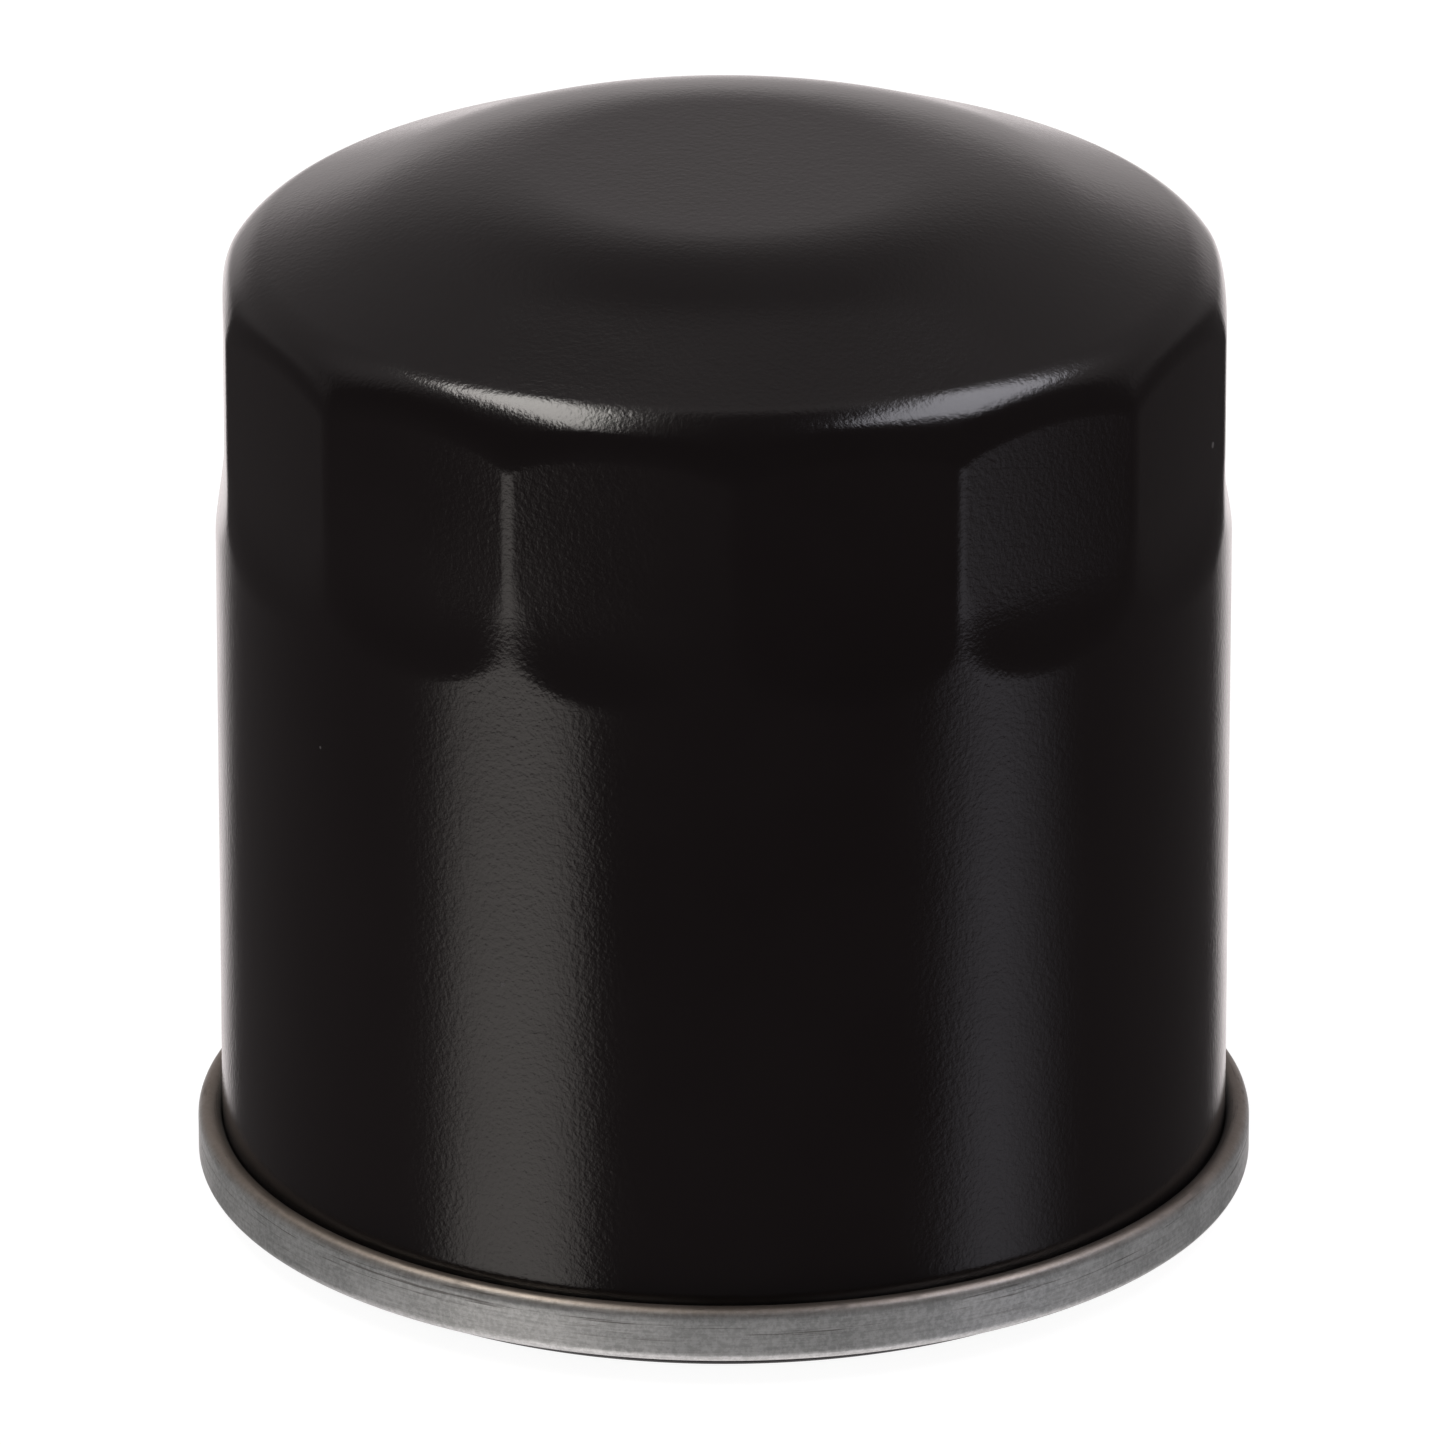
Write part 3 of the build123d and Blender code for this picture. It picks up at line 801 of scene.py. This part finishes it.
def plate():
    """Dished plate with its tapped collar and punched inlets."""
    rim_top_z = PLATE_RIM_Z + PLATE_THICKNESS
    corners = [
        (THREAD_MINOR_R, PLATE_LOW_Z),
        (PLATE_STEP_R, PLATE_LOW_Z),
        (PLATE_STEP_R, PLATE_RIM_Z),
        (PLATE_R, PLATE_RIM_Z),
        (PLATE_R, rim_top_z),
        (PLATE_STEP_R - 2, rim_top_z),
        (PLATE_STEP_R - 2, PLATE_TOP_Z),
        (COLLAR_R, PLATE_TOP_Z),
        (COLLAR_R, COLLAR_TOP_Z),
        (THREAD_MINOR_R, COLLAR_TOP_Z),
    ]
    edge = 0.4
    outline = divided(rounded(corners, edge, closed=True), 1.2)
    solid_part = [point for point in outline if point[0] > THREAD_MINOR_R + 0.001]
    bore_low = PLATE_LOW_Z + edge
    bore_high = COLLAR_TOP_Z - edge
    depth = bore_low - bore_high
    bore = [(THREAD_MINOR_R, bore_high + depth * row / THREAD_ROWS) for row in range(THREAD_ROWS + 1)]
    outline = [*solid_part, *bore]

    def tapped(radius, height, turn):
        if radius == THREAD_MINOR_R:
            return thread_radius(height, turn), height
        return radius, height

    piece = lathe("tapped_plate", outline, 160, tapped)
    cutters = []
    for number in range(INLET_COUNT):
        side = [
            (0, PLATE_LOW_Z - 1),
            (INLET_R + INLET_FLARE + 1, PLATE_LOW_Z - 1),
            (INLET_R, PLATE_LOW_Z + INLET_FLARE),
            (INLET_R, PLATE_TOP_Z - 0.1),
            (INLET_R + 1.1, PLATE_TOP_Z + 1),
            (0, PLATE_TOP_Z + 1),
        ]
        cutter = lathe(f"inlet_{number}", side, 40, closed=False)
        turn = TAU * number / INLET_COUNT
        cutter.location = (INLET_CIRCLE_R * MM * math.cos(turn), INLET_CIRCLE_R * MM * math.sin(turn), 0)
        cutters.append(cutter)
    return stands_for(cut(piece, cutters), "base_plate", plate_steel)


# ---------- Anti-drain valve ----------

def valve():
    """Rubber neck, flange and cone. It is attached to no body and stays where it is."""
    corners = [
        (COLLAR_R, VALVE_NECK_Z),
        (COLLAR_R + 1.4, VALVE_NECK_Z),
        (VALVE_LIP_R - 0.6, PLATE_TOP_Z + 0.02),
        (VALVE_LIP_R, PLATE_TOP_Z + 0.5),
        (VALVE_LIP_R - 0.4, PLATE_TOP_Z + 1.1),
        (COLLAR_R + 1.7, VALVE_TOP_Z - 2.4),
        (COLLAR_R + 1.7, VALVE_TOP_Z - 1.4),
        (VALVE_FLANGE_R, VALVE_TOP_Z - 1),
        (VALVE_FLANGE_R, VALVE_TOP_Z),
        (COLLAR_R, VALVE_TOP_Z),
    ]
    radii = [0.2, 0.3, 0.25, 0.25, 0.25, 0.4, 0.4, 0.3, 0.3, 0.2]
    piece = lathe("drain_valve", divided(rounded(corners, radii, closed=True), 0.5), 192)
    stands_for(piece, "anti_drain_valve", valve_rubber, ride=False)
    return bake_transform(piece)


# ---------- Filter element ----------

def end_caps():
    """The two pressed caps: the lower one with a spigot in the tube, the upper one with the bypass hole."""
    rim_r = CAP_R - CAP_SHEET / 2
    spigot_r = TUBE_R - TUBE_WALL - 0.05 - CAP_SHEET / 2
    lower_z = LOWER_CAP_Z + CAP_SHEET / 2
    upper_z = UPPER_CAP_Z + CAP_SHEET / 2
    spigot_z = LOWER_CAP_Z + 2.4
    lower_line = [(spigot_r, spigot_z), (spigot_r, lower_z), (rim_r, lower_z), (rim_r, LOWER_CAP_Z + CAP_RIM)]
    upper_line = [(BYPASS_HOLE_R, upper_z), (rim_r, upper_z), (rim_r, UPPER_CAP_Z + CAP_SHEET - CAP_RIM)]
    for name, node, line in (
        ("cap_below", "lower_end_cap", lower_line),
        ("cap_above", "upper_end_cap", upper_line),
    ):
        piece = lathe(name, divided(sheet_outline(line, CAP_SHEET, 0.4), 1.0), 192)
        stands_for(piece, node, cap_steel)


def potting_rings():
    """Cured paste in each cap, with rounded edges."""
    for name, node, low_z in (
        ("paste_below", "lower_potting", LOWER_CAP_TOP_Z),
        ("paste_above", "upper_potting", UPPER_CAP_Z - POTTING),
    ):
        outer_r = CAP_R - CAP_SHEET - 0.02
        high_z = low_z + POTTING
        corners = [(TUBE_R, low_z), (outer_r, low_z), (outer_r, high_z), (TUBE_R, high_z)]
        piece = lathe(name, divided(rounded(corners, 0.3, closed=True), 1.5), 192)
        stands_for(piece, node, paste)


def perforated_tube():
    """Rolled tube made of cells, each with one round hole, then given its wall."""
    rise = (UPPER_CAP_Z - LOWER_CAP_TOP_Z) / (TUBE_HOLE_ROWS + 1)
    low_z = LOWER_CAP_TOP_Z + 0.2
    middle_r = TUBE_R - TUBE_WALL / 2
    width = TAU * middle_r / TUBE_HOLES_IN_ROW
    sides = 24
    points = []
    faces = []

    def flat_to_round(across, height):
        turn = across / middle_r
        points.append((middle_r * math.cos(turn), middle_r * math.sin(turn), height))
        return len(points) - 1

    for row in range(TUBE_HOLE_ROWS):
        for place in range(TUBE_HOLES_IN_ROW):
            middle = width * (place + row % 2 / 2)
            centre_z = LOWER_CAP_TOP_Z + rise * (row + 1)
            low = low_z if row == 0 else centre_z - rise / 2
            high = UPPER_CAP_Z if row == TUBE_HOLE_ROWS - 1 else centre_z + rise / 2
            inner = []
            outer = []
            for side in range(sides):
                turn = TAU * (side + 0.5) / sides
                x = math.cos(turn)
                y = math.sin(turn)
                inner.append(flat_to_round(middle + TUBE_HOLE_R * x, centre_z + TUBE_HOLE_R * y))
                reach_x = width / 2 / max(abs(x), 1e-6)
                reach_y = (high - centre_z if y > 0 else centre_z - low) / max(abs(y), 1e-6)
                reach = min(reach_x, reach_y)
                outer.append(flat_to_round(middle + reach * x, centre_z + reach * y))
            for side in range(sides):
                after = (side + 1) % sides
                faces.append([inner[side], outer[side], outer[after], inner[after]])
    piece = mesh_object("perforated_tube", points, faces)
    weld = piece.modifiers.new("weld", "WELD")
    weld.merge_threshold = 0.00001
    solidify = piece.modifiers.new("wall", "SOLIDIFY")
    solidify.thickness = TUBE_WALL * MM
    solidify.offset = 0
    return stands_for(piece, "center_tube", tube_steel)


def pleats():
    """One closed sheet of paper, folded round the tube, with rounded folds."""
    root_r = PLEAT_ROOT_R + PAPER / 2
    half = PLEAT_HALF_WIDTH - PAPER / 2
    tip_centre_r = PLEAT_TIP_R - PAPER / 2 - half
    straight = (root_r + 0.35, root_r + 5.0, root_r + 10.0)
    pitch = TAU / PLEAT_COUNT
    line = []
    for number in range(PLEAT_COUNT):
        turn = pitch * number
        side = [(r, -half) for r in straight]
        side += arc((tip_centre_r, 0), half, -math.pi / 2, math.pi / 2, math.radians(30))
        side += [(r, half) for r in reversed(straight)]
        for x, y in side:
            line.append((x * math.cos(turn) - y * math.sin(turn), x * math.sin(turn) + y * math.cos(turn)))
        between = turn + pitch / 2
        line.append((root_r * math.cos(between), root_r * math.sin(between)))
    wander = random.Random(7)
    lean = [wander.uniform(-PLEAT_LEAN, PLEAT_LEAN) for _ in line]
    points = []
    for row in range(PLEAT_ROWS + 1):
        share = row / PLEAT_ROWS
        z = MEDIA_LOW_Z + (MEDIA_TOP_Z - MEDIA_LOW_Z) * share
        sway = math.sin(math.pi * share)
        for (x, y), amount in zip(line, lean):
            radius = math.hypot(x, y)
            across = amount * sway
            points.append((x - y / radius * across, y + x / radius * across, z))
    count = len(line)
    faces = []
    for row in range(PLEAT_ROWS):
        for number in range(count):
            after = (number + 1) % count
            base = row * count
            faces.append([base + number, base + after, base + count + after, base + count + number])
    piece = mesh_object("paper_pleats", points, faces, 50)
    solidify = piece.modifiers.new("paper", "SOLIDIFY")
    solidify.thickness = (PAPER - 0.06) * MM
    solidify.offset = 0
    return stands_for(piece, "pleated_media", paper)


# ---------- Bypass valve ----------

def cage():
    """Pressed cup with four windows."""
    wall_r = CAGE_R - SHEET / 2
    middle_line = [
        (CAGE_FLANGE_R, UPPER_CAP_Z - SHEET / 2),
        (wall_r, UPPER_CAP_Z - SHEET / 2),
        (wall_r, CAGE_FLOOR_Z - SHEET / 2),
        (STEM_R + 0.05, CAGE_FLOOR_Z - SHEET / 2),
    ]
    piece = lathe("valve_cage", divided(sheet_outline(middle_line, SHEET, FOLD_R), 1.2), 128)
    low_z = CAGE_FLOOR_Z + 1.5
    high_z = UPPER_CAP_Z - 2.5
    half = WINDOW_WIDTH / 2
    window = rounded([(-half, low_z), (half, low_z), (half, high_z), (-half, high_z)], 1.2, closed=True)
    cutters = []
    for number in range(CAGE_WINDOWS):
        points = [(x, y, z) for x in (CAGE_R - 2, CAGE_R + 2) for y, z in window]
        count = len(window)
        faces = [list(reversed(range(count))), list(range(count, 2 * count))]
        for corner in range(count):
            after = (corner + 1) % count
            faces.append([corner, after, count + after, count + corner])
        cutter = mesh_object(f"window_{number}", points, faces)
        cutter.rotation_euler = (0, 0, TAU * number / CAGE_WINDOWS)
        cutters.append(cutter)
    return stands_for(cut(piece, cutters), "bypass_cage", cap_steel)


def bypass_pieces():
    """Disc, washer and rivet of the bypass valve."""
    top_z = SEAL_TOP_Z - SEAL_THICKNESS
    rim_r = POPPET_R - POPPET_THICKNESS / 2
    middle_z = top_z - POPPET_THICKNESS / 2
    line = [(STEM_R, middle_z), (rim_r, middle_z), (rim_r, top_z - 2)]
    disc = lathe("valve_disc", divided(sheet_outline(line, POPPET_THICKNESS, 0.5, 0.15), 0.8), 96)
    stands_for(disc, "bypass_poppet", cap_steel)
    washer_r = POPPET_R - 0.3
    corners = [(STEM_R, top_z), (washer_r, top_z), (washer_r, SEAL_TOP_Z), (STEM_R, SEAL_TOP_Z)]
    washer = lathe("valve_washer", divided(rounded(corners, 0.15, closed=True), 0.8), 96)
    stands_for(washer, "bypass_seal", valve_rubber)
    head_top_z = SEAL_TOP_Z + 0.9
    outline = rounded(
        [
            (0, STEM_BOTTOM_Z),
            (STEM_R, STEM_BOTTOM_Z),
            (STEM_R, SEAL_TOP_Z),
            (STEM_HEAD_R, SEAL_TOP_Z),
            (STEM_HEAD_R, head_top_z),
            (0, head_top_z),
        ],
        [0, 0.4, 0.05, 0.05, 0.6, 0],
    )
    rivet = lathe("valve_rivet", divided(outline, 1.5, closed=False), 64, closed=False)
    stands_for(rivet, "bypass_stem", plate_steel)


# ---------- Springs ----------

def springs():
    """Element spring, held by the dome, and bypass spring, held by the cage's floor."""
    seat_z = UPPER_CAP_Z + CAP_SHEET + SHEET
    dome_z = DOME_TOP_Z - CAN_WALL
    disc_z = SEAL_TOP_Z - SEAL_THICKNESS - POPPET_THICKNESS
    dome_spring = coil_spring("dome_spring", SPRING_WIRE_R, SPRING_COIL_R, seat_z, dome_z, 2.2)
    stands_for(dome_spring, "element_spring", spring_steel)
    valve_spring = coil_spring("valve_spring", BYPASS_WIRE_R, BYPASS_COIL_R, CAGE_FLOOR_Z, disc_z, 4.5)
    stands_for(valve_spring, "bypass_spring", spring_steel)
    for piece, joint, low_z, high_z, anchor_z in (
        (dome_spring, "element_lift", seat_z, dome_z, dome_z),
        (valve_spring, "bypass_open", CAGE_FLOOR_Z, disc_z, CAGE_FLOOR_Z),
    ):
        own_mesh(piece)


def seat():
    """Pressed ring that centres the element spring."""
    floor_z = UPPER_CAP_Z + CAP_SHEET + SHEET / 2
    lip_r = SPRING_SEAT_HOLE_R + SHEET / 2
    line = [(lip_r, floor_z + 2.2), (lip_r, floor_z), (SPRING_SEAT_R, floor_z)]
    piece = lathe("spring_ring", divided(sheet_outline(line, SHEET, FOLD_R), 0.8), 128)
    return stands_for(piece, "spring_seat", cap_steel)


def clip():
    """Folded strip over one pleat: its CAD solid has the right shape and takes the steel."""
    node = frame["nodes"]["media_seam_clip"]
    node.data.materials.clear()
    node.data.materials.append(cap_steel)


can()
lid()
gasket()
seam_bead()
plate()
valve()
end_caps()
potting_rings()
perforated_tube()
pleats()
clip()
cage()
bypass_pieces()
springs()
seat()


# ---------- Studio ----------

NEUTRAL = (1.0, 0.93, 0.93)
WARM = (1.0, 0.965, 0.92)
WARMER = (1.0, 0.94, 0.89)
COOL = (0.93, 0.92, 1.0)
COOLER = (0.92, 0.90, 1.0)
LEFT_BOX_POWER = 8.6
RIGHT_BOX_POWER = 5.0
BACKGROUND = 0.94


def studio_light():
    """A softly lit room: two softboxes overhead, low strips of light, dim walls, and a pale backdrop."""
    world = bpy.data.worlds.new("studio")
    bpy.context.scene.world = world
    world.use_nodes = True
    nodes = Nodes(world.node_tree)
    toward = nodes.add("ShaderNodeTexCoord").outputs["Generated"]
    x, y, z = nodes.add("ShaderNodeSeparateXYZ", {0: toward}).outputs
    above = nodes.math("MAXIMUM", z, 0.05)
    east = nodes.math("DIVIDE", x, above)
    north = nodes.math("DIVIDE", y, above)

    def product(first, *others):
        for other in others:
            first = nodes.math("MULTIPLY", first, other)
        return first

    def box(low_x, high_x, low_y, high_y, edge, lean=0.0):
        """A softbox overhead, between slopes eastwards and northwards from straight up."""
        across = nodes.math("SUBTRACT", east, nodes.math("MULTIPLY", north, lean))
        left = nodes.ramp(across, low_x - edge, low_x + edge)
        right = nodes.ramp(across, high_x - edge, high_x + edge, 1.0, 0.0)
        near = nodes.ramp(north, low_y - edge, low_y + edge)
        far = nodes.ramp(north, high_y - edge, high_y + edge, 1.0, 0.0)
        return product(left, right, near, far, nodes.math("GREATER_THAN", z, 0.1))

    def strip(low, high, soft_low, soft_high):
        """A band of directions near the floor, between two bearings from the front, positive to the right."""
        bearing = nodes.math("ARCTAN2", x, nodes.math("MULTIPLY", y, -1.0))
        starts = [math.radians(angle) for angle in (low - soft_low, low + soft_low)]
        ends = [math.radians(angle) for angle in (high - soft_high, high + soft_high)]
        rising = nodes.ramp(bearing, *starts)
        falling = nodes.ramp(bearing, *ends, 1.0, 0.0)
        return product(rising, falling, nodes.ramp(z, -0.36, -0.30, 1.0, 0.0))

    # Radiance of the plain room: dim in front, brighter overhead and behind, white where the floor would be
    lower = nodes.ramp(x, -0.5, 0.5, 0.095, 0.075)
    upper = nodes.ramp(y, 0.04, 0.34, 0.085, 0.245)
    room = nodes.math("ADD", lower, product(nodes.math("SUBTRACT", upper, lower), nodes.ramp(z, -0.1, 0.2)))
    overhead = product(
        nodes.ramp(y, 0.04, 0.30),
        nodes.ramp(y, 0.20, 0.60, 0.19, 0.02),
        nodes.ramp(z, 0.40, 0.70),
    )
    white = nodes.ramp(z, -0.30, -0.08, 0.66, 0.0)
    pale = nodes.ramp(z, 0.05, 0.30, 0.41, 0.0)
    back = product(nodes.ramp(y, 0.79, 0.91), nodes.math("ADD", white, pale))
    glow = product(nodes.ramp(y, 0.80, 0.97), nodes.ramp(z, 0.40, 0.60, 0.13, 0.0))
    dip = product(
        nodes.ramp(nodes.math("ABSOLUTE", x), 0.08, 0.34, -0.10, 0.0),
        nodes.ramp(y, 0.35, 0.60),
        nodes.ramp(z, 0.42, 0.66),
    )
    under = nodes.ramp(z, -0.60, -0.85)
    for part in (overhead, back, glow, dip, under):
        room = nodes.math("ADD", room, part)
    left_share = nodes.math("SUBTRACT", north, nodes.math("MULTIPLY", east, 2.4))
    left_box = product(box(-0.55, -0.21, -0.90, 0.36, 0.05, -0.12), nodes.ramp(left_share, 0.50, 0.66))
    right_box = box(0.36, 0.88, -0.27, 0.40, 0.06)
    total = None
    for amount, tint in (
        (room, NEUTRAL),
        (product(left_box, LEFT_BOX_POWER), WARM),
        (product(right_box, RIGHT_BOX_POWER), COOL),
        (product(strip(-65, -33, 6, 5), 1.15), WARMER),
        (product(strip(-54, -40, 8, 6), 0.17), WARMER),
        (product(strip(55, 75, 8, 13), 0.64), COOLER),
    ):
        light = nodes.add("ShaderNodeBackground", {"Color": rgba(*tint), "Strength": amount}).outputs[0]
        total = light if total is None else nodes.add("ShaderNodeAddShader", {0: total, 1: light}).outputs[0]
    plain = nodes.add("ShaderNodeBackground", {"Color": rgba(*[BACKGROUND] * 3), "Strength": 1.0}).outputs[0]
    seen = nodes.add("ShaderNodeLightPath").outputs["Is Camera Ray"]
    shown = nodes.add("ShaderNodeMixShader", {0: seen, 1: total, 2: plain})
    nodes.add("ShaderNodeOutputWorld", {0: shown.outputs[0]})


def floor():
    """A wide floor. It isn't seen in reflections, so that the gloss paint shows the studio round it."""
    half = 3.0
    mesh = bpy.data.meshes.new("floor")
    corners = [(-half, -half, 0), (half, -half, 0), (half, half, 0), (-half, half, 0)]
    mesh.from_pydata(corners, [], [[0, 1, 2, 3]])
    sheet = bpy.data.objects.new("floor", mesh)
    bpy.context.scene.collection.objects.link(sheet)
    mesh.materials.append(pale_floor())
    sheet.visible_glossy = False
    sheet.visible_shadow = False


def camera():
    """A long lens, looking along +Y from a little above."""
    elevation = math.radians(22.24)
    distance = 1.1219
    aim = Vector((-0.085, 0, 31.8)) * MM
    data = bpy.data.cameras.new("camera")
    data.lens = 428.4
    data.sensor_width = 36.0
    data.clip_start = 0.05
    eye = bpy.data.objects.new("camera", data)
    bpy.context.scene.collection.objects.link(eye)
    eye.location = aim + Vector((0, -math.cos(elevation), math.sin(elevation))) * distance
    eye.rotation_euler = (math.pi / 2 - elevation, 0, 0)
    bpy.context.scene.camera = eye


studio_light()
floor()
camera()
bpy.context.scene.view_settings.view_transform = "Standard"
